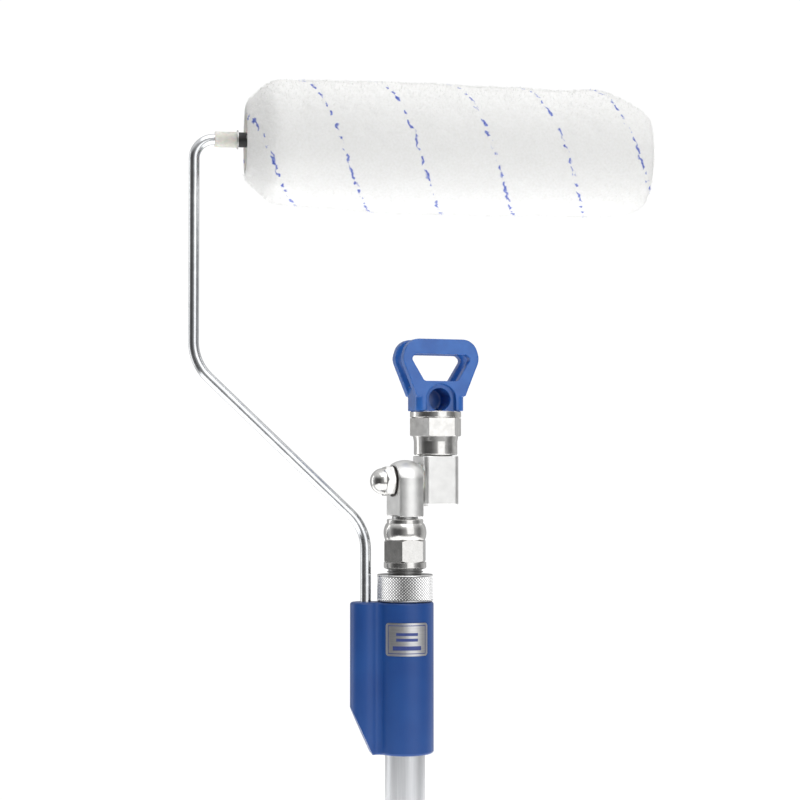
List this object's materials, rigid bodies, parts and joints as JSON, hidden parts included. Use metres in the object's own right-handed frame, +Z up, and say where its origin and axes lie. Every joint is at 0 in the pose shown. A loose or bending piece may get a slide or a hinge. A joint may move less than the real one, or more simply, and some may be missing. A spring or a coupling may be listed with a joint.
{
  "type": "spray paint roller",
  "caption": "Airless spray roller head: long-nap roller on a bent wire frame, moulded housing on an extension tube, and a swivelling spray tip guard beside it.",
  "frame": {"origin": "mouth of the gun nut at the tube's lower end, on the tube's axis", "axes": "+Z up the extension tube towards the roller, +X along the roller axle away from the wire's bend, -Y the front with the label"},
  "size_m": [0.2847, 0.079, 0.5575],
  "materials": {
    "tube_aluminium": "satin drawn tube",
    "turned_steel": "turned",
    "black_rubber": "moulded",
    "housing_blue": "moulded, semi-gloss",
    "black_steel": "black oxide",
    "label_metal": "brushed foil plate, blank",
    "plated_wire": "bright plated rod",
    "natural_nylon": "turned",
    "spring_steel": "hardened",
    "bright_nickel": "bright nickel plate",
    "collar_aluminium": "knurled, clear anodised",
    "satin_nickel": "satin nickel plate",
    "guard_blue": "moulded, fine grain",
    "cap_black": "moulded",
    "cage_wire": "drawn",
    "core_white": "white polypropylene tube",
    "cap_white": "white moulded polypropylene",
    "nap_white": "woven pile with a blue marker thread"
  },
  "bodies": {
    "frame": {"extension_tube": "tube_aluminium", "tube_head": "turned_steel", "tube_foot": "turned_steel", "gun_gasket": "black_rubber", "housing": "housing_blue", "frame_set_screw": "black_steel", "label_plate": "label_metal", "frame_wire": "plated_wire", "axle_sleeve": "natural_nylon", "thrust_washers": "turned_steel", "push_nut": "spring_steel", "collar_washer": "black_rubber"},
    "gun_nut": {"gun_nut": "bright_nickel"},
    "clamp_collar": {"clamp_collar": "collar_aluminium"},
    "swivel_nut": {"swivel_nut": "bright_nickel"},
    "swivel": {"inlet_stem": "turned_steel", "inlet_gasket": "natural_nylon", "swivel_body": "satin_nickel"},
    "outlet": {"outlet_body": "satin_nickel", "pivot_stem": "turned_steel", "pivot_rings": "black_rubber", "pivot_washer": "natural_nylon", "cap_nut": "bright_nickel", "cap_washer": "black_steel"},
    "guard_nut": {"guard_nut": "bright_nickel"},
    "guard": {"tip_guard": "guard_blue", "snap_ring": "spring_steel", "tip_seat": "turned_steel", "seat_seal": "natural_nylon"},
    "cage": {"cage_cap_inner": "cap_white", "cage_cap_outer": "cap_white", "cage_plug": "cap_white", "cage_bushes": "cap_black", "cage_rods": "cage_wire", "cage_discs": "cap_black"},
    "cover": {"cover_core": "core_white", "cover_nap": "nap_white"}
  },
  "joints": [
    {"name": "roller_spin", "type": "hinge", "parent": "frame", "child": "cage", "pos_m": [0, 0, 0.518], "axis": [1, 0, 0], "continuous": true},
    {"name": "cover_pull_off", "type": "slide", "parent": "cage", "child": "cover", "axis": [1, 0, 0], "range_m": [0, 0.26]},
    {"name": "gun_nut_turn", "type": "hinge", "parent": "frame", "child": "gun_nut", "pos_m": [0, 0, 0.012], "axis": [0, 0, 1], "continuous": true},
    {"name": "collar_turn", "type": "hinge", "parent": "frame", "child": "clamp_collar", "pos_m": [0, 0, 0.243], "axis": [0, 0, 1], "continuous": true},
    {"name": "swivel_nut_turn", "type": "hinge", "parent": "frame", "child": "swivel_nut", "pos_m": [0, 0, 0.27], "axis": [0, 0, 1], "continuous": true},
    {"name": "swivel_turn", "type": "hinge", "parent": "frame", "child": "swivel", "pos_m": [0, 0, 0.29], "axis": [0, 0, 1], "range_deg": [-90, 60]},
    {"name": "outlet_tilt", "type": "hinge", "parent": "swivel", "child": "outlet", "pos_m": [0, 0, 0.309], "axis": [0.9781, 0.2079, 0], "range_deg": [-90, 90]},
    {"name": "guard_nut_turn", "type": "hinge", "parent": "outlet", "child": "guard_nut", "pos_m": [0.01976, 0.0042, 0.335], "axis": [0, 0, 1], "continuous": true},
    {"name": "guard_turn", "type": "hinge", "parent": "outlet", "child": "guard", "pos_m": [0.01976, 0.0042, 0.355], "axis": [0, 0, 1], "continuous": true}
  ]
}
